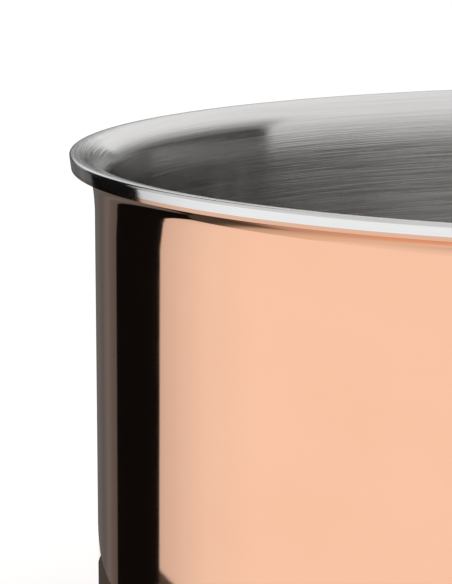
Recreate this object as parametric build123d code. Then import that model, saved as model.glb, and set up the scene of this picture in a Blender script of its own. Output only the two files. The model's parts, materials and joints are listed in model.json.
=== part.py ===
from build123d import *
import math
import os

# A copper jam pan: a straight-walled bowl pressed from a bonded copper, aluminium and stainless
# sheet, whose flared lip shows the three layers at its cut edge, with two riveted cast loop handles.
# The base rests on Z = 0 with its centre at the origin, and the handles stand out along +X and -X.

# Driving sizes of the bowl, in millimetres and degrees
bowl_radius = 132.0
pan_height = 125.0
base_corner_radius = 18.0

# The bonded sheet, from the outside in
copper_thickness = 0.8
core_thickness = 1.7
lining_thickness = 0.7

# The flared lip: the wall first leans out over a gentle arc, then bends over level and ends in a flat
lean_radius = 58.0
lean_angle = 6.0
lip_bend_radius = 3.8
lip_flat = 0.75
lip_edge_lean = 0.5
lip_edge_crown = 0.3
lip_edge_round = 0.45

# Cast foot pads, two to a handle
foot_spacing = 76.0
foot_drop = 41.0
pad_width = 44.0
pad_height = 24.0
pad_thickness = 4.0
pad_edge_round = 1.2

# The loop between them
handle_reach = 50.0
handle_tilt = 17.0
arm_splay = 7.0
arm_root_width = 13.0
arm_root_height = 15.0
arm_width = 10.5
arm_height = 12.0
grip_depth = 17.0
grip_thickness = 11.5
grip_corner_radius = 17.0
grip_bow_angle = 10.0
root_fillet = 1.5

# Rivets, two to each foot
rivet_pitch = 27.0
rivet_radius = 3.0
rivet_hole_clearance = 0.05
inner_head_radius = 7.0
inner_head_height = 2.0
inner_head_edge = 0.9
outer_head_radius = 4.2
outer_head_height = 1.7
outer_head_edge = 0.4
head_crown_share = 0.75
head_middle_share = 0.5

# Cutting solids run past what they cut by this much
overrun = 5.0

# Sizes of the sheet and the lip that follow from those above
sheet_thickness = copper_thickness + core_thickness + lining_thickness
wall_radius = bowl_radius + sheet_thickness
lean_spread = lean_radius * (1 - math.cos(math.radians(lean_angle)))
lean_rise = lean_radius * math.sin(math.radians(lean_angle))
bend_spread = lip_bend_radius * math.cos(math.radians(lean_angle))
bend_rise = lip_bend_radius * (1 - math.sin(math.radians(lean_angle)))
lip_underside = pan_height - sheet_thickness
lean_start = lip_underside - bend_rise - lean_rise
edge_foot_radius = wall_radius + lean_spread + bend_spread + lip_flat
rim_radius = edge_foot_radius + lip_edge_lean

# Places of the feet and rivets that follow
foot_height = pan_height - foot_drop
pad_face_radius = wall_radius + pad_thickness
foot_azimuth = math.degrees(math.asin(foot_spacing / 2 / wall_radius))
rivet_azimuth = math.degrees(math.asin(rivet_pitch / 2 / pad_face_radius))
foot_azimuths = [-foot_azimuth, foot_azimuth]
rivet_azimuths = [foot + side * rivet_azimuth for foot in foot_azimuths for side in (-1, 1)]
handle_azimuths = {"right": 0, "left": 180}


def turned(shape, azimuth):
    """The shape turned about the pan's axis, from +X."""
    return Rot(0, 0, azimuth) * shape


def drum(radius):
    """A solid drum round the pan's axis, as tall as the pan."""
    return Pos(0, 0, pan_height / 2) * Cylinder(radius, pan_height)


def radial_rod(radius, start, end):
    """A rod along +X at the feet's height, between two distances from the pan's axis."""
    return Pos(start, 0, foot_height) * extrude(Plane.YZ * Circle(radius), end - start)


def rivet_holes():
    """Every rivet hole, as rods to cut from the bowl's layers and from the handles."""
    hole_radius = rivet_radius + rivet_hole_clearance
    rod = radial_rod(hole_radius, bowl_radius - overrun, pad_face_radius + overrun)
    return [
        turned(rod, handle + rivet)
        for handle in handle_azimuths.values()
        for rivet in rivet_azimuths
    ]


def sheet_line(depth):
    """Line through the sheet, this deep from its outside, from the base's centre to past the lip."""
    corner_radius = base_corner_radius - depth
    wall_x = wall_radius - depth
    floor = Line((0, depth), (wall_x - corner_radius, depth))
    corner = JernArc(floor @ 1, floor % 1, corner_radius, 90)
    wall = Line(corner @ 1, (wall_x, lean_start))
    lean = JernArc(wall @ 1, wall % 1, lean_radius + depth, -lean_angle)
    bend = JernArc(lean @ 1, lean % 1, lip_bend_radius + depth, lean_angle - 90)
    lip_start = bend @ 1
    lip = Line(lip_start, lip_start + Vector(lip_flat + lip_edge_lean + overrun, 0))
    return [floor, corner, wall, lean, bend, lip]


def inboard_of_edge():
    """All that lies inboard of the lip's cut edge, which leans out, is crowned and is rounded on top."""
    foot = Vector(edge_foot_radius, lip_underside)
    top = Vector(rim_radius, pan_height)
    crown = (foot + top) / 2 + Vector(lip_edge_crown, 0)
    lower_side = Polyline((0, -overrun), (edge_foot_radius, -overrun), foot)
    upper_side = Polyline(top, (0, pan_height), (0, -overrun))
    face = make_face([lower_side, ThreePointArc(foot, crown, top), upper_side])
    rim_corner = face.vertices().sort_by(Axis.X)[-1]
    return fillet(rim_corner, lip_edge_round)


def sheet_layer(outer_depth, inner_depth):
    """One layer of the bonded sheet, turned round the pan's axis and pierced for the rivets."""
    outer_line = sheet_line(outer_depth)
    inner_line = sheet_line(inner_depth)
    lip_end = Line(outer_line[-1] @ 1, inner_line[-1] @ 1)
    axis_end = Line(inner_line[0] @ 0, outer_line[0] @ 0)
    section = make_face(outer_line + [lip_end] + inner_line + [axis_end]) & inboard_of_edge()
    return revolve(Plane.XZ * section, Axis.Z) - rivet_holes()


def dome(seat, radius, height, edge_height):
    """A low dome round the X axis that stands out from the seat, with its flat back on the seat."""
    tip = seat + height
    rim = seat + edge_height
    crown = rim + (height - edge_height) * head_crown_share
    arc = ThreePointArc((tip, 0), (crown, radius * head_middle_share), (rim, radius))
    back = Polyline((rim, radius), (seat, radius), (seat, 0), (tip, 0))
    return revolve(make_face([arc, back]), Axis.X)


def rivet():
    """One rivet along +X: a low lens head in the bowl, a shank, and a domed tail on the pad."""
    head = dome(-bowl_radius, inner_head_radius, inner_head_height, inner_head_edge)
    head = Pos(0, 0, foot_height) * mirror(head, Plane.YZ)
    tail_seat = pad_face_radius - outer_head_edge
    tail_height = outer_head_height + outer_head_edge
    tail = dome(tail_seat, outer_head_radius, tail_height, 2 * outer_head_edge)
    tail = Pos(0, 0, foot_height) * tail
    shank = radial_rod(rivet_radius, bowl_radius - inner_head_edge, pad_face_radius)
    return (head & drum(bowl_radius)) + shank + (tail - drum(pad_face_radius))


def foot_pad():
    """A cast foot centred on +X: a long rounded plate that follows the wall, with softened edges."""
    outline = Plane.YZ * SlotOverall(pad_width, pad_height)
    blank = Pos(0, 0, foot_height) * extrude(outline, pad_face_radius + overrun)
    pad = blank & (drum(pad_face_radius) - drum(wall_radius))
    face = pad.faces().sort_by(Axis.X)[-1]
    return fillet(face.edges(), pad_edge_round)


def loop_path():
    """Centre line of the loop in its own plane: splayed arm, corner, bowed grip, corner, arm."""
    half_spacing = foot_spacing / 2
    splay = Vector(1, 0).rotate(Axis.Z, -arm_splay)
    corner_angle = 90 + arm_splay - grip_bow_angle
    arm_length = (handle_reach - grip_corner_radius) / splay.X
    arm = Line((0, -half_spacing), Vector(0, -half_spacing) + splay * arm_length)
    corner = JernArc(arm @ 1, arm % 1, grip_corner_radius, corner_angle)
    grip_radius = -(corner @ 1).Y / math.sin(math.radians(grip_bow_angle))
    grip = JernArc(corner @ 1, corner % 1, grip_radius, 2 * grip_bow_angle)
    far_corner = JernArc(grip @ 1, grip % 1, grip_corner_radius, corner_angle)
    far_arm = Line(far_corner @ 1, (0, half_spacing))
    return Wire([arm, corner, grip, far_corner, far_arm])


def loop_sections(path):
    """Ovals square to the path, at shares of its length: tall at the feet, broad and flat at the grip."""
    half_loop_shares = [0.0, 0.06, 0.13, 0.22, 0.34, 0.5]
    root_middle_height = (arm_root_height + 2 * arm_height) / 3
    root_middle_width = (arm_root_width + 2 * arm_width) / 3
    shoulder_width = (arm_width + grip_depth) / 2
    heights = [arm_root_height, root_middle_height, arm_height, arm_height, grip_thickness, grip_thickness]
    widths = [arm_root_width, root_middle_width, arm_width, shoulder_width, grip_depth, grip_depth]
    ovals = list(zip(half_loop_shares, heights, widths))
    ovals += [(1 - share, height, width) for share, height, width in reversed(ovals[:-1])]
    sections = []
    for share, height, width in ovals:
        place = Plane(origin=path @ share, x_dir=(0, 0, 1), z_dir=path % share)
        sections.append((place * Ellipse(height / 2, width / 2)).face())
    return sections


def loop_handle():
    """The cast handle on +X: a loop of changing oval section that grows out of two foot pads."""
    path = loop_path()
    loop = sweep(sections=loop_sections(path), path=path, multisection=True)
    root_x = math.sqrt(wall_radius**2 - (foot_spacing / 2 + arm_root_width / 2) ** 2)
    loop = Pos(root_x, 0, foot_height) * Rot(0, -handle_tilt, 0) * loop
    loop = loop - drum(wall_radius)
    pads = [turned(foot_pad(), foot) for foot in foot_azimuths]
    handle = loop + pads
    handle = fillet(new_edges(loop, *pads, combined=handle), root_fillet)
    return handle - rivet_holes()


def write_part(name, shape):
    """Writes one sub-part and prints its volume."""
    export_step(shape, os.path.join("parts", f"{name}.step"))
    print(name, round(shape.volume))


os.makedirs("parts", exist_ok=True)
core_depth = copper_thickness
lining_depth = copper_thickness + core_thickness
write_part("copper_outer_shell", sheet_layer(0, core_depth))
write_part("aluminium_core", sheet_layer(core_depth, lining_depth))
write_part("stainless_lining", sheet_layer(lining_depth, sheet_thickness))
for side, azimuth in handle_azimuths.items():
    write_part(f"{side}_handle", turned(loop_handle(), azimuth))
    for number, rivet_turn in enumerate(rivet_azimuths, start=1):
        write_part(f"{side}_handle_rivet_{number}", turned(rivet(), azimuth + rivet_turn))
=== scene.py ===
# %% [markdown]
# This lesson dresses a copper jam pan. Its wall is one bonded sheet: polished copper outside, a thick
# aluminium core, and a brushed stainless lining. The sheet could be drawn as one thick shell with
# painted bands, but the flared lip shows all three layers at its cut edge. So each layer is spun as
# its own closed piece, and the handles and rivets keep their exact solids and get new finishes.

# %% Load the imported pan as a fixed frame
import json
import math

import bpy
from mathutils import Matrix, Vector

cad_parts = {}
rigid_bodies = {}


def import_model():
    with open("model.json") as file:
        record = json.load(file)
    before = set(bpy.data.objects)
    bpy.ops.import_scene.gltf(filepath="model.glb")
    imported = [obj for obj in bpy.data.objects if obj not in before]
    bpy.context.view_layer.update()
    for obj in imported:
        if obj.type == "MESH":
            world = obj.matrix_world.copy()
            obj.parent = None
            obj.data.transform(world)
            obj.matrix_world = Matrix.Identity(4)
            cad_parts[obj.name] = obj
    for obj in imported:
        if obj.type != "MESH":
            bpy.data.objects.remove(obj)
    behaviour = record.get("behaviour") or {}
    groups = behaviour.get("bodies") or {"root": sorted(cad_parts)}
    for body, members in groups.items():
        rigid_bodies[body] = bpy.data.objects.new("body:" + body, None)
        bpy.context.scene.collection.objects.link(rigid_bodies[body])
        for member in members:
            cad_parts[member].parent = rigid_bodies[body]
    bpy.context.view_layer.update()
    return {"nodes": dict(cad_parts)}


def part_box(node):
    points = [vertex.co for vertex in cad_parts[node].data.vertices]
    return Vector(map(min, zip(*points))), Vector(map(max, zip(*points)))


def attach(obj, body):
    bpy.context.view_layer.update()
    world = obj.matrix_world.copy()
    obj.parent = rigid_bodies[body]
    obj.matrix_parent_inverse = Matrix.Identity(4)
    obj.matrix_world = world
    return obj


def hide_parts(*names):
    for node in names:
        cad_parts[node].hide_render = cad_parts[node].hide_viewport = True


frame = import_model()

print("nodes of the pan:", sorted(frame["nodes"]))

# %% [markdown]
# The pan's height and the thickness of two layers can be read from the frame, because the layers'
# undersides lie one above the other at the base. The bends can't be read from a box. They could be
# measured on the meshes, but they are the real pan's own sizes, so they are named here, in metres.
# The lip leans a hair more than the solids' does, because the reflections in the photograph ask for it.

# %% Read the pan's sizes
core_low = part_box("aluminium_core")[0]
lining_low, lining_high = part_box("stainless_lining")
pan_height = lining_high.z
copper_thickness = core_low.z
core_thickness = lining_low.z - core_low.z
lining_thickness = 0.0007
lining_depth = copper_thickness + core_thickness
sheet_thickness = lining_depth + lining_thickness
bowl_radius = 0.132
wall_radius = bowl_radius + sheet_thickness
base_corner_radius = 0.018
lean_radius = 0.042
lean_angle = math.radians(9)
lip_bend_radius = 0.0038
lip_flat = 0.000577
lip_edge_lean = 0.0004
lip_edge_crown = 0.00001
lip_edge_round = 0.00045
print("sheet", round(sheet_thickness * 1000, 2), "mm thick, pan", round(pan_height * 1000, 1), "mm high")

# %% [markdown]
# A spinner presses the sheet against a turning chuck, so every layer is one line turned round the
# pan's axis. The line could be typed as a list of points. It is drawn here with a pen made of two
# edit mode operators instead: extrude pulls the last vertex along a straight run, and spin swings it
# round a centre, which gives true arcs at any fineness.

# %% Make a pen that draws a profile in edit mode
profile_turn_axis = (0, 1, 0)


def deselect_all():
    """Leaves nothing selected, because an operator acts on all that is."""
    for piece in bpy.context.view_layer.objects:
        piece.select_set(False)


def start_profile(name, height):
    """A mesh of one selected vertex on the pan's axis at this height, left in edit mode."""
    deselect_all()
    bpy.ops.mesh.primitive_plane_add(size=1, location=(0, 0, 0))
    piece = bpy.context.object
    piece.name = name
    bpy.ops.object.mode_set(mode="EDIT")
    bpy.ops.mesh.select_all(action="SELECT")
    bpy.ops.mesh.merge(type="CENTER")
    bpy.ops.transform.translate(value=(0, 0, height))
    return piece


def pen_line(run, rise, steps):
    """Pulls the pen's vertex along a straight run in equal steps."""
    for _ in range(steps):
        move = {"value": (run / steps, 0, rise / steps)}
        bpy.ops.mesh.extrude_region_move(TRANSFORM_OT_translate=move)


def pen_arc(centre, angle, steps):
    """Swings the pen's vertex round a centre in the XZ plane, anticlockwise where the angle is positive."""
    centre = (centre[0], 0, centre[1])
    bpy.ops.mesh.spin(steps=steps, angle=angle, center=centre, axis=profile_turn_axis)


print("the pen draws lines and arcs in the XZ plane")

# %% [markdown]
# The lip is where the skill shows. The wall leans out over a gentle arc and bends over level on a
# small radius. A lip could be bent for each layer by itself, but the real layers are bent together.
# So each arc has one centre for all of them, and a layer's own radius is the outside radius plus its
# depth in the sheet. The flat of the base and the upright wall are then the same for every layer too.

# %% Work out the centres of the bends
floor_run = wall_radius - base_corner_radius
corner_centre = (floor_run, base_corner_radius)
lean_spread = lean_radius * (1 - math.cos(lean_angle))
lean_rise = lean_radius * math.sin(lean_angle)
bend_angle = math.pi / 2 - lean_angle
lip_underside = pan_height - sheet_thickness
bend_centre = (
    wall_radius + lean_spread + lip_bend_radius * math.cos(lean_angle),
    lip_underside - lip_bend_radius,
)
lean_start = bend_centre[1] + lip_bend_radius * math.sin(lean_angle) - lean_rise
lean_centre = (wall_radius + lean_radius, lean_start)
wall_rise = lean_start - base_corner_radius
print("the wall starts to lean", round(lean_start * 1000, 1), "mm above the base")

# %% [markdown]
# The sheet is trimmed on a lathe after it is bent. The cut edge leans out, is very slightly crowned,
# and is rounded on top where a cook's hand or a ladle meets it. A straight cut with a bevel would do
# from afar, but this edge carries the brightest line of the picture, so it gets two true arcs.

# %% Work out the centres of the cut edge
edge_foot_radius = bend_centre[0] + lip_flat
chord = math.hypot(lip_edge_lean, sheet_thickness)
chord_lean = math.atan2(lip_edge_lean, sheet_thickness)
edge_bulge = lip_edge_crown * math.cos(chord_lean)
crown_radius = (chord / 2) ** 2 / (2 * edge_bulge) + edge_bulge / 2
crown_depth = crown_radius - edge_bulge
crown_centre = (
    edge_foot_radius + lip_edge_lean / 2 - crown_depth * math.cos(chord_lean),
    lip_underside + sheet_thickness / 2 + crown_depth * math.sin(chord_lean),
)
round_rise = pan_height - lip_edge_round - crown_centre[1]
round_run = math.sqrt((crown_radius - lip_edge_round) ** 2 - round_rise**2)
round_centre = (crown_centre[0] + round_run, crown_centre[1] + round_rise)
round_start_angle = math.atan2(round_rise, round_run)
print("lip reaches", round((round_centre[0] + lip_edge_round) * 1000, 2), "mm from the axis")

# %% [markdown]
# Each layer is drawn out along its underside, up its share of the cut edge, and back along its upper
# side to the axis. Solidify could thicken one spun line instead, but it would leave the cut edge flat
# and square. Only the lining, on top, has the rounded part of the edge.

# %% Draw the line round one layer's section
floor_steps = 6
corner_steps = 14
wall_steps = 12
lean_steps = 6
bend_steps = 14
lip_steps = 2
edge_steps = 4
round_steps = 8


def draw_out():
    """Draws from the axis to where the lip is level."""
    pen_line(floor_run, 0, floor_steps)
    pen_arc(corner_centre, math.pi / 2, corner_steps)
    pen_line(0, wall_rise, wall_steps)
    pen_arc(lean_centre, -lean_angle, lean_steps)
    pen_arc(bend_centre, -bend_angle, bend_steps)


def draw_back():
    """Draws from where the lip is level back to the axis."""
    pen_arc(bend_centre, bend_angle, bend_steps)
    pen_arc(lean_centre, lean_angle, lean_steps)
    pen_line(0, -wall_rise, wall_steps)
    pen_arc(corner_centre, -math.pi / 2, corner_steps)
    pen_line(-floor_run, 0, floor_steps)


def crown_angle(depth):
    """Where the cut edge passes a depth in the sheet, as an angle round the crown's centre."""
    return math.asin((lip_underside + depth - crown_centre[1]) / crown_radius)


def crown_run(angle):
    """How far past the bend's centre the cut edge is at an angle round the crown's centre."""
    return crown_centre[0] + crown_radius * math.cos(angle) - bend_centre[0]


def draw_section(outer_depth, inner_depth):
    """Draws a layer that lies between two depths in the sheet."""
    draw_out()
    foot_angle = crown_angle(outer_depth)
    pen_line(crown_run(foot_angle), 0, lip_steps)
    if inner_depth < sheet_thickness:
        top_angle = crown_angle(inner_depth)
        pen_arc(crown_centre, top_angle - foot_angle, edge_steps)
        pen_line(-crown_run(top_angle), 0, lip_steps)
    else:
        pen_arc(crown_centre, round_start_angle - foot_angle, edge_steps)
        pen_arc(round_centre, math.pi / 2 - round_start_angle, round_steps)
        pen_line(bend_centre[0] - round_centre[0], 0, lip_steps)
    draw_back()


print("a section's line has arcs of", corner_steps, "and", bend_steps, "steps")

# %% [markdown]
# A turn of the section round the axis makes a closed layer with its true thickness. A Screw modifier
# could do it too, but the spin operator is what the pen already uses. The turn leaves doubled points
# along its seam and at the two poles, so these are merged before the normals are turned outwards.

# %% Spin the three layers of the sheet
steps_round = 384
merge_distance = 0.00001
sharp_from = math.radians(35)


def spin_layer(name, node, outer_depth, inner_depth):
    """One closed layer of the sheet, spun round the pan's axis in place of its CAD node."""
    piece = start_profile(name, outer_depth)
    draw_section(outer_depth, inner_depth)
    bpy.ops.mesh.select_all(action="SELECT")
    bpy.ops.mesh.spin(steps=steps_round, angle=math.tau, center=(0, 0, 0), axis=(0, 0, 1))
    bpy.ops.mesh.select_all(action="SELECT")
    bpy.ops.mesh.remove_doubles(threshold=merge_distance)
    bpy.ops.mesh.normals_make_consistent(inside=False)
    bpy.ops.object.mode_set(mode="OBJECT")
    bpy.ops.object.shade_smooth_by_angle(angle=sharp_from)
    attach(piece, "root")
    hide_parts(node)
    print(name, len(piece.data.polygons), "faces")
    return piece


copper_shell = spin_layer("copper_shell_spun", "copper_outer_shell", 0, copper_thickness)
core = spin_layer("aluminium_core_spun", "aluminium_core", copper_thickness, lining_depth)
lining = spin_layer("stainless_lining_spun", "stainless_lining", lining_depth, sheet_thickness)

# %% [markdown]
# Metal finishes are mostly fine marks, so the materials are arithmetic on the place of each point.
# Node graphs wired by hand get hard to read. A small class wraps a shader value instead, so that sums
# can be written as sums, also with a plain number in front.

# %% Write shader maths as Python expressions
class Value:
    """A socket in a node tree. Arithmetic on it adds Math nodes."""

    def __init__(self, tree, socket):
        self.tree = tree
        self.socket = socket

    def maths(self, operation, first, second=0.0):
        return self.tree.node("ShaderNodeMath", {"operation": operation}, {0: first, 1: second})

    def __add__(self, other):
        return self.maths("ADD", self, other)

    def __radd__(self, other):
        return self.maths("ADD", other, self)

    def __sub__(self, other):
        return self.maths("SUBTRACT", self, other)

    def __rsub__(self, other):
        return self.maths("SUBTRACT", other, self)

    def __mul__(self, other):
        return self.maths("MULTIPLY", self, other)

    def __rmul__(self, other):
        return self.maths("MULTIPLY", other, self)

    def __pow__(self, other):
        return self.maths("POWER", self, other)

    def __abs__(self):
        return self.maths("ABSOLUTE", self)


print("values add, subtract, multiply, and take powers and sizes")

# %% [markdown]
# The pan's metals, the cards round it and the room are all node trees. Each could have its own wiring
# code, but one class with one method for every kind of node keeps them alike: the node's settings are
# set first, because some of them change its sockets, and then the sockets are fed.

# %% Make one way to add any node
class NodeTree:
    """The node tree of a material or of the world."""

    def __init__(self, owner):
        owner.use_nodes = True
        self.nodes = owner.node_tree.nodes
        self.links = owner.node_tree.links

    def node(self, kind, settings=None, inputs=None, output=0):
        """Adds a node, sets and feeds it, and returns one output, or a list where a tuple is asked for."""
        node = self.nodes.new(kind)
        for key, setting in (settings or {}).items():
            if key == "stops":
                self.set_stops(node.color_ramp.elements, setting)
            else:
                setattr(node, key, setting)
        for key, given in (inputs or {}).items():
            self.feed(node.inputs[key], given)
        if isinstance(output, tuple):
            return [Value(self, node.outputs[key]) for key in output]
        return Value(self, node.outputs[output])

    def set_stops(self, elements, stops):
        """Gives a colour ramp, which starts with two elements, these places and colours in order."""
        for _ in stops[2:]:
            elements.new(1.0)
        for element, (position, colour) in zip(elements, stops):
            element.position = position
            element.color = colour

    def feed(self, socket, given):
        """Links a value to a socket, or sets a plain number, vector or colour on it."""
        if isinstance(given, Value):
            self.links.new(given.socket, socket)
        else:
            socket.default_value = given

    def ramp(self, value, low, high, start=0.0, end=1.0):
        """Maps a value's stretch from low to high smoothly onto start to end, clamped outside it."""
        sockets = {0: value, 1: low, 2: high, 3: start, 4: end}
        return self.node("ShaderNodeMapRange", {"interpolation_type": "SMOOTHSTEP"}, sockets)


print("a node's settings come first, then its sockets")

# %% [markdown]
# Every finish on the pan follows the lathe: marks run in rings round its axis, and softer stains lie
# across them. A finish could unwrap each piece for that, but a point's own place on the object gives
# the rings with no seam, and the pattern stays where it is from every side.

# %% Describe one metal finish
class Finish(NodeTree):
    """A material whose marks are placed by each point's x, y and z and its distance from the axis."""

    def __init__(self, name):
        self.material = bpy.data.materials.new(name)
        super().__init__(self.material)
        self.shader = self.nodes["Principled BSDF"]
        point = self.node("ShaderNodeTexCoord", output="Object")
        self.x, self.y, self.z = self.node("ShaderNodeSeparateXYZ", inputs={0: point}, output=(0, 1, 2))
        self.radius = (self.x * self.x + self.y * self.y) ** 0.5

    def noise(self, level, third, detail, roughness):
        """Soft noise from 0 to 1, with this many spots to a metre of x and y, and one to a unit of third."""
        corner = {0: self.x * level, 1: self.y * level, 2: third}
        place = self.node("ShaderNodeCombineXYZ", inputs=corner)
        sockets = {"Vector": place, "Scale": 1.0, "Detail": detail, "Roughness": roughness}
        return self.node("ShaderNodeTexNoise", {"noise_dimensions": "3D"}, sockets)

    def spots(self, level, upright, detail, roughness=0.5):
        """Noise with this many spots to a metre, level and upright."""
        return self.noise(level, self.z * upright, detail, roughness)

    def rings(self, level, between, detail, roughness=0.5):
        """Noise drawn out round the axis, with this many rings to a metre across the base or up the wall."""
        return self.noise(level, (self.radius + self.z) * between, detail, roughness)

    def mix_colour(self, share, first, second):
        """Blends two colours by a share from 0 to 1."""
        sockets = {0: share, 6: first, 7: second}
        return self.node("ShaderNodeMix", {"data_type": "RGBA"}, sockets, output=2)

    def bump(self, height, distance):
        """A normal raised by a height from 0 to 1 over this distance in metres."""
        return self.node("ShaderNodeBump", inputs={"Height": height, "Distance": distance, "Strength": 1.0})

    def set(self, **sockets):
        """Feeds the shader's sockets, named with underscores for their spaces."""
        for name, given in sockets.items():
            self.feed(self.shader.inputs[name.replace("_", " ")], given)

    def dress(self, *pieces):
        """Gives this finish to every material slot of the pieces."""
        for piece in pieces:
            piece.data.materials.clear()
            piece.data.materials.append(self.material)
        print(self.material.name, "on", len(pieces), "piece" + "s" * (len(pieces) > 1))


print("a finish has spots and rings to work with")

# %% [markdown]
# Eight rivets pass through the wall, and a fine dark line of painted shade lies round each head.
# The line could be drawn by eye, but a point's distance from the nearest rivet's axis gives it exactly.
# The rivets lie alike in all four quarters of the pan, so two axes in one quarter are enough.

# %% Find the points round the rivets
rivet_height = 0.084
rivet_azimuths = [math.radians(10.76), math.radians(21.89)]
inner_head_radius = 0.007
outer_head_radius = 0.0042
head_clearance = 0.0001
pad_face_radius = 0.1392


def shade_round_rivets(finish, head_radius, shade_width):
    """1 right round the nearest rivet's head, falling to 0 over the width of the painted shade past it."""
    shade_start = head_radius + head_clearance
    shade_end = shade_start + shade_width
    x = abs(finish.x)
    y = abs(finish.y)
    rise = finish.z - rivet_height
    clear = 1.0
    for azimuth in rivet_azimuths:
        aside = x * math.sin(azimuth) - y * math.cos(azimuth)
        clear = finish.ramp((aside * aside + rise * rise) ** 0.5, shade_start, shade_end) * clear
    return 1 - clear


rivet_gap = 2 * pad_face_radius * math.sin((rivet_azimuths[1] - rivet_azimuths[0]) / 2)
print("rivets", round(rivet_gap * 1000, 1), "mm apart on a pad")

# %% [markdown]
# Copper buffed to a mirror shows its surroundings and hardly itself. What is left of the making is
# a faint cloudiness, a very fine grain from the mop that ran round the pan, and a rougher cut edge.
# A flat mirror would look like plastic film, so roughness and colour both vary a little.

# %% Polish the copper
polished_copper = Finish("polished_copper")
deep_copper = (0.925, 0.53, 0.355, 1)
light_copper = (0.955, 0.565, 0.39, 1)
cut_copper = (0.76, 0.465, 0.33, 1)
buffing_depth = 0.00004
polish_ends = edge_foot_radius - 0.0002
cut_starts = edge_foot_radius - 0.0001
clouds = polished_copper.spots(30, 55, detail=4, roughness=0.6)
waves = polished_copper.spots(18, 30, detail=1)
grain = polished_copper.rings(14, 1600, detail=2)
cut_edge = polished_copper.ramp(polished_copper.radius, polish_ends, cut_starts)
buffed = polished_copper.mix_colour(clouds, deep_copper, light_copper)
polished_copper.set(
    Base_Color=polished_copper.mix_colour(cut_edge, buffed, cut_copper),
    Metallic=1.0,
    Roughness=0.03 + clouds * 0.03 + grain * 0.015 + cut_edge * 0.04,
    Normal=polished_copper.bump(waves * 0.6 + grain * 0.02, buffing_depth),
)
polished_copper.dress(copper_shell)

# %% [markdown]
# The core shows only at the cut edge, as a bright band between two thin lines. A lathe tool trimmed
# it, which leaves marks far finer than the eye can part. They could be bumps alone, but what shows is
# how they spread a highlight up and down, so the shader is anisotropic, with a very low bump.

# %% Turn the core's cut edge
turned_aluminium = Finish("turned_aluminium")
dull_aluminium = (0.76, 0.77, 0.78, 1)
bright_aluminium = (0.86, 0.86, 0.86, 1)
turning_depth = 0.000004
turning = turned_aluminium.spots(20, 9000, detail=2)
turned_aluminium.set(
    Base_Color=turned_aluminium.mix_colour(turning, dull_aluminium, bright_aluminium),
    Metallic=1.0,
    Roughness=0.07 + turning * 0.03,
    Anisotropic=0.9,
    Anisotropic_Rotation=0.25,
    Normal=turned_aluminium.bump(turning, turning_depth),
)
turned_aluminium.dress(core)

# %% [markdown]
# The lining is brushed while the bowl turns, so its lines run level round the wall and in rings on the
# base. Painted lines would look printed. Here two sizes of ring noise move the colour, roughness and
# bump together, and strong anisotropy smears what the steel reflects across the brushing.

# %% Brush the stainless lining
brushed_steel = Finish("brushed_steel_lining")
fine = brushed_steel.ramp(brushed_steel.rings(30, 3200, detail=3, roughness=0.6), 0.3, 0.7)
broad = brushed_steel.ramp(brushed_steel.rings(12, 900, detail=3, roughness=0.6), 0.3, 0.7)
streaks = fine * 0.8 + broad * 0.2
print("two sizes of streak for", brushed_steel.material.name)

# %% [markdown]
# Ladles and stacked pans have scratched the lip at one place, in short arcs that follow the rim. A
# scratch could be a cut curve for each, but there are dozens, hardly a hair wide. A coarser ring noise
# with hard steps gives them, held inside an oval patch on the lip.

# %% Scratch the lip and finish the lining
patch_place = (0.002, -0.1352)
patch_half_length = 0.02
patch_half_width = 0.004
patch_x = (brushed_steel.x - patch_place[0]) * (1 / patch_half_length)
patch_y = (brushed_steel.y - patch_place[1]) * (1 / patch_half_width)
patch = brushed_steel.ramp(patch_x * patch_x + patch_y * patch_y, 1.0, 0.1)
arcs = brushed_steel.ramp(brushed_steel.rings(30, 1700, detail=1), 0.38, 0.62)
# The lining also gets a painted shade here: a fine dark ring round each inner rivet head, added to the
# scratches.
scratches_and_rivet_shade = (1 - arcs) * patch + shade_round_rivets(brushed_steel, inner_head_radius, 0.001)
scratch_and_shade_darkness = 2.2
scratch_relief = 4.0
dark_steel = (0.555, 0.545, 0.535, 1)
light_steel = (0.64, 0.63, 0.625, 1)
brushing_depth = 0.000014
brushed_steel.set(
    Base_Color=brushed_steel.mix_colour(streaks - scratches_and_rivet_shade * scratch_and_shade_darkness, dark_steel, light_steel),
    Metallic=1.0,
    Roughness=0.135 + broad * 0.02 + fine * 0.04 + patch * 0.08,
    Anisotropic=0.95,
    Anisotropic_Rotation=0.25,
    Normal=brushed_steel.bump(streaks * (1 - patch * 0.7) + arcs * patch * scratch_relief, brushing_depth),
)
brushed_steel.dress(lining)

# %% [markdown]
# The handles are cast stainless steel, tumbled to a satin skin. The pads lie tight on the copper, and a
# painted shade darkens that seam and the ring round each rivet. A ring of mesh could carry the shade, but
# the shade has no thickness, so it is a change of colour by distance from the wall and from the rivets'
# axes.

# %% Finish the cast handles
satin_steel = Finish("satin_cast_steel")
dark_cast_and_shade = (0.16, 0.155, 0.15, 1)
light_cast = (0.58, 0.57, 0.56, 1)
cast_skin_depth = 0.00002
pad_unshaded_from = wall_radius + 0.0011
pad_shaded_to = wall_radius + 0.0002
skin = satin_steel.spots(900, 900, detail=3)
soft = satin_steel.spots(60, 60, detail=2)
seam = satin_steel.ramp(satin_steel.radius, pad_unshaded_from, pad_shaded_to)
rivet_shade = shade_round_rivets(satin_steel, outer_head_radius, 0.0009)
# Random tone, darkened by painted shade at the pad's seam and round the rivets.
tone_and_shade = (0.35 + soft * 0.65) * (1 - seam) * (1 - rivet_shade)
satin_steel.set(
    Base_Color=satin_steel.mix_colour(tone_and_shade, dark_cast_and_shade, light_cast),
    Metallic=1.0,
    Roughness=0.21 + soft * 0.08 + seam * 0.1,
    Normal=satin_steel.bump(skin, cast_skin_depth),
)
handles = [node for name, node in frame["nodes"].items() if name.endswith("_handle")]
satin_steel.dress(*handles)
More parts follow.
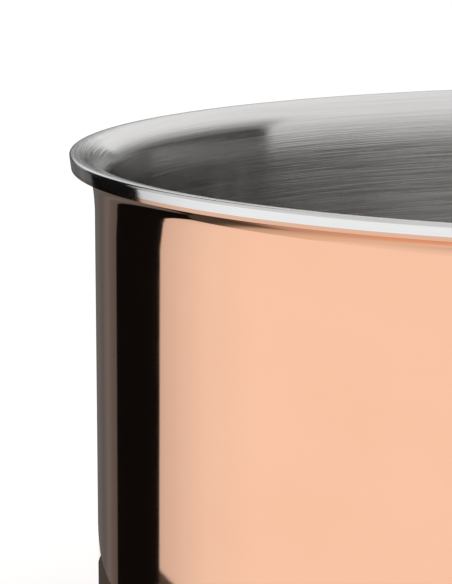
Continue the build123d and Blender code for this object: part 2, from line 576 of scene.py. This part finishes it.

# %% [markdown]
# The rivets are drawn steel, set with a domed punch that leaves the heads smoother than the casting.
# They could share the handles' finish, but then they would vanish into the pads. They are lighter, with a
# painted shade only where a head meets the lining or the pad, which lie equally far from the shank's middle.

# %% Finish the rivets
rivet_steel = Finish("rivet_steel")
shaded_rivet = (0.14, 0.135, 0.13, 1)
light_rivet = (0.66, 0.65, 0.64, 1)
rivet_skin_depth = 0.00001
rivet_middle_radius = 0.1355
head_unshaded_from = 0.0041
head_shaded_to = 0.0036
skin = rivet_steel.spots(1500, 1500, detail=2)
# Painted shade where a head sits on the lining or the pad.
seat = abs(rivet_steel.radius - rivet_middle_radius)
seam = rivet_steel.ramp(seat, head_unshaded_from, head_shaded_to)
rivet_steel.set(
    Base_Color=rivet_steel.mix_colour((0.6 + skin * 0.4) * (1 - seam), shaded_rivet, light_rivet),
    Metallic=1.0,
    Roughness=0.18 + skin * 0.08 + seam * 0.1,
    Normal=rivet_steel.bump(skin, rivet_skin_depth),
)
rivets = [node for name, node in frame["nodes"].items() if "_rivet_" in name]
rivet_steel.dress(*rivets)

# %% [markdown]
# Places round the pan are easiest to give as a bearing and a distance, as on a compass, from where the
# camera stands. X and Y would do as well, but a card that makes a reflection is thought of by the side
# that it stands on. Bearing 0 is towards the camera, and 90 is towards the picture's left.

# %% Lay out the room by bearings
camera_bearing = math.radians(-6.5)


def compass(bearing, distance, height=0.0):
    """A place by its bearing in degrees from the camera's foot towards the picture's left."""
    angle = camera_bearing - math.radians(bearing)
    return Vector((distance * math.cos(angle), distance * math.sin(angle), height))


inward = -compass(0, 1)
leftward = compass(90, 1)
upward = Vector((0, 0, 1))
print("the camera looks along", [round(part, 3) for part in inward])

# %% [markdown]
# The camera stands where the photograph's stood: low, a little above the rim, and turned left so that
# the pan runs out of the picture on the right. It could be set by eye, but a round pan shows the least
# slip, so the numbers come from a fit of the rim's inner and outer outlines.

# %% Stand the camera where the photograph's stood
camera_distance = 0.7261
camera_over_rim = 0.078788
camera_turn = math.radians(8.538)
camera_dip = math.radians(8.652)
camera_roll = math.radians(-0.254)
focal_pixels = 3444.35
long_side_pixels = 584
level_aim = inward * math.cos(camera_turn) + leftward * math.sin(camera_turn)
aim = level_aim * math.cos(camera_dip) - upward * math.sin(camera_dip)
level_right = level_aim.cross(upward)
level_top = level_right.cross(aim)
right = level_right * math.cos(camera_roll) + level_top * math.sin(camera_roll)
top = level_top * math.cos(camera_roll) - level_right * math.sin(camera_roll)
camera_data = bpy.data.cameras.new("studio_camera")
camera_data.sensor_width = 36
camera_data.lens = focal_pixels * camera_data.sensor_width / long_side_pixels
camera_data.clip_start = 0.01
camera_data.clip_end = 50
camera = bpy.data.objects.new("studio_camera", camera_data)
bpy.context.scene.collection.objects.link(camera)
stand = compass(0, camera_distance, pan_height + camera_over_rim)
turn = Matrix((right, top, -aim)).transposed().to_4x4()
camera.matrix_world = Matrix.Translation(stand) @ turn
bpy.context.scene.camera = camera
print("lens", round(camera_data.lens, 1), "mm")

# %% [markdown]
# The pan stands on a pale paper sweep. A lit floor alone would show a grey horizon, so the paper also glows
# a little. Under and right beside the pan its glow and colour are darker, a painted shade where a real sweep
# lies in the pan's shadow.

# %% Lay the paper floor
floor_size = 12.0
shade_from_radius = 0.2
shade_to_radius = 0.12
deselect_all()
bpy.ops.mesh.primitive_plane_add(size=floor_size, location=(0, 0, 0))
floor = bpy.context.object
floor.name = "floor"
paper = Finish("pale_paper")
# Painted shade: the paper's colour and glow are darker near the pan.
clear_of_painted_shade = paper.ramp(paper.radius, shade_to_radius, shade_from_radius)
paper.set(
    Base_Color=paper.mix_colour(clear_of_painted_shade, (0.7, 0.7, 0.7, 1), (0.86, 0.86, 0.86, 1)),
    Roughness=0.9,
    Specular_IOR_Level=0.0,
    Emission_Color=paper.mix_colour(clear_of_painted_shade, (0.45, 0.45, 0.45, 1), (1, 1, 1, 1)),
    Emission_Strength=0.28,
)
paper.dress(floor)

# %% [markdown]
# One broad panel over the pan gives the floor its soft light and the pan its faint shadow. Several
# lamps would make several shadows. No mirror sees the panel, because the cards below do that work.

# %% Hang the soft light
panel_height = 2.4
panel_size = 2.4
panel_radiance = 0.5
panel_data = bpy.data.lights.new("ceiling_light", "AREA")
panel_data.size = panel_size
panel_data.energy = panel_radiance * math.pi * panel_size**2
panel = bpy.data.objects.new("ceiling_light", panel_data)
bpy.context.scene.collection.objects.link(panel)
panel.location = (0, 0, panel_height)
panel.visible_glossy = False
print("soft light of", round(panel_data.energy, 1), "W")

# %% [markdown]
# A mirror is lit by what it reflects. A studio sets white cards for the bright fields of a polished
# pot, and black and grey ones for the dark edges that give its round wall a shape. Lamps would only
# make hot spots. Only reflections see these cards, so they shade nothing and other views stay clear.

# %% Make a card that the metal reflects
half_card = 0.5


def glow_material(name, glow_stops, tint):
    """An emission whose radiance follows the stops over a card's width."""
    material = bpy.data.materials.new(name)
    glow = NodeTree(material)
    glow.nodes.clear()
    place = glow.node("ShaderNodeTexCoord", output="Object")
    share = glow.node("ShaderNodeSeparateXYZ", inputs={0: place}) + half_card
    stops = [(position, [radiance * part for part in tint] + [1]) for position, radiance in glow_stops]
    colour = glow.node("ShaderNodeValToRGB", {"stops": stops}, {0: share})
    emission = glow.node("ShaderNodeEmission", inputs={"Color": colour})
    glow.node("ShaderNodeOutputMaterial", inputs={"Surface": emission}, output=())
    return material


def card(name, near_edge, far_edge, rise, glow_stops, tint=(1, 1, 1)):
    """A card from one edge to another that only reflections see, with a glow for each share of its width."""
    deselect_all()
    bpy.ops.mesh.primitive_plane_add(size=1)
    piece = bpy.context.object
    piece.name = name
    side = far_edge - near_edge
    spread = Matrix((side, rise, side.cross(rise).normalized())).transposed().to_4x4()
    corner_to_middle = Matrix.Translation((half_card, half_card, 0))
    piece.matrix_world = Matrix.Translation(near_edge) @ spread @ corner_to_middle
    piece.visible_camera = False
    piece.visible_diffuse = False
    piece.visible_shadow = False
    piece.visible_transmission = False
    piece.visible_volume_scatter = False
    piece.data.materials.append(glow_material(name, glow_stops, tint))


def sheer_card(name, corner, across, glow_stops, height):
    """A card whose glow changes with height instead, from a corner and along a slope."""
    card(name, corner, corner + upward * height, across, glow_stops)


print("cards can glow by width or by height")

# %% [markdown]
# The copper's bright field is one softbox on the left. It ends at a tall black card, which draws the
# sharp dark band down the wall, and a low grey card beyond that gives the band its lighter edge. One
# striped card could hold all three, but each edge in the photograph bends in its own way at the lip,
# which takes its own distance.

# %% Stand the cards that the copper reflects
black_lean = compass(0, 0.010)
grey_glow = [(0.0, 0.1), (0.06, 0.12), (0.095, 0.16), (0.15, 0.11), (0.23, 0.13), (0.42, 0.14)]
grey_glow += [(1.0, 0.14)]
card(
    "left_softbox",
    near_edge=compass(20, 0.56),
    far_edge=compass(112, 0.33),
    rise=upward * 0.8,
    glow_stops=[(0.0, 1.0), (0.65, 1.0), (0.733, 0.93), (0.795, 0.79), (0.84, 0.68), (1.0, 0.6)],
)
card(
    "black_card",
    near_edge=compass(92.4, 0.273) - black_lean,
    far_edge=compass(103.9, 0.2168) - black_lean,
    rise=upward * 0.35 + compass(0, 0.035),
    glow_stops=[(0.0, 0.004), (1.0, 0.004)],
)
card(
    "grey_card",
    near_edge=compass(105, 0.2232),
    far_edge=compass(165, 0.40),
    rise=upward * 0.122 + compass(0, 0.0122),
    glow_stops=grey_glow,
)
print("three cards on the left")

# %% [markdown]
# The far inside of the bowl looks back past the rim to the right, where a second softbox ends in a dark
# room. That end is the upright step of grey inside the bowl. The step could be painted on the lining,
# but then it would stay when the pan is turned. A pale wall behind lights the top of the lip.

# %% Stand the cards that the lining reflects
right_corner = compass(-50, 0.8)
sheer_card(
    "right_softbox",
    right_corner,
    across=compass(-118.4, 0.726) - right_corner,
    glow_stops=[(0.0, 0.9), (0.25, 0.88), (0.6, 0.97), (1.0, 1.15)],
    height=0.9,
)
dusk_corner = compass(-118.5, 0.728, -0.012)
sheer_card(
    "dusk_card",
    dusk_corner,
    across=compass(-176, 1.1, -0.48) - dusk_corner,
    glow_stops=[(0.0, 0.01), (0.55, 0.015), (0.7, 0.2), (0.84, 0.55), (1.0, 1.0)],
    height=0.75,
)
back_corner = compass(145, 1.2)
back_glow = [(0.0, 0.05), (0.22, 0.07), (0.29, 0.25), (0.34, 0.95), (0.43, 1.0), (0.67, 1.05)]
back_glow += [(1.0, 1.15)]
sheer_card(
    "backdrop",
    back_corner,
    across=compass(197, 1.2) - back_corner,
    glow_stops=back_glow,
    height=0.9,
)
print("three cards on the right and behind")

# %% [markdown]
# The underside of the flared lip mirrors the floor, in the pan's shade close by and bright further out. The
# paper floor itself could be graded for that, but then the camera and other views would see the grade. Two
# cards a hair above it, a broad one in front and a small one at the left, carry it for the reflections
# alone, as a painted shade that glows dimmest next to the pan.

# %% Lay the cards that the lip's underside reflects
floor_corner = compass(150, 0.15, 0.0003) - compass(60, 0.1)
card(
    "floor_shade_card",
    near_edge=floor_corner,
    far_edge=floor_corner + compass(60, 0.75),
    rise=compass(-30, 0.65),
    glow_stops=[(0.0, 0.62), (0.35, 0.68), (0.42, 0.82), (0.48, 0.9), (0.56, 0.93), (0.7, 0.98), (1.0, 1.0)],
)
# A small dark card of painted shade, for the floor right beside the pan.
foot_corner = compass(90, 0.10, 0.0006) - compass(0, 0.13)
foot_shade_glow = [(0.0, 0.06), (0.5, 0.07), (0.577, 0.14), (0.625, 0.33), (0.67, 0.55), (0.79, 0.7)]
foot_shade_glow += [(0.87, 0.8), (1.0, 0.85)]
card(
    "foot_shade_card",
    near_edge=foot_corner,
    far_edge=foot_corner + compass(0, 0.26),
    rise=compass(90, 0.2),
    glow_stops=foot_shade_glow,
    tint=(1, 0.92, 0.82),
)
print("two cards on the floor")

# %% [markdown]
# Beyond the cards the room is plain and pale. For mirrors it is dim near the floor and bright above,
# as a studio with its lights overhead, so that every side of the pan has a gradient to show. One even
# white would leave the back of the copper flat. The camera and dull surfaces see an even room.

# %% Light the room
world = bpy.data.worlds.new("studio_room")
bpy.context.scene.world = world
room = NodeTree(world)
room.nodes.clear()
dark_until = math.sin(math.radians(3))
bright_from = math.sin(math.radians(14))
low_glow = 0.25
high_glow = 1.35
even_glow = 1.0
direction = room.node("ShaderNodeTexCoord", output="Generated")
climb = room.node("ShaderNodeSeparateXYZ", inputs={0: direction}, output=2)
graded_glow = room.ramp(climb, dark_until, bright_from, low_glow, high_glow)
even_room = room.node("ShaderNodeBackground", inputs={"Strength": even_glow})
graded_room = room.node("ShaderNodeBackground", inputs={"Strength": graded_glow})
from_mirror = room.node("ShaderNodeLightPath", output="Is Glossy Ray")
seen = room.node("ShaderNodeMixShader", inputs={0: from_mirror, 1: even_room, 2: graded_room})
room.node("ShaderNodeOutputWorld", inputs={"Surface": seen}, output=())
bpy.context.scene.view_settings.view_transform = "Standard"
print("the room glows from", low_glow, "to", high_glow, "for mirrors")
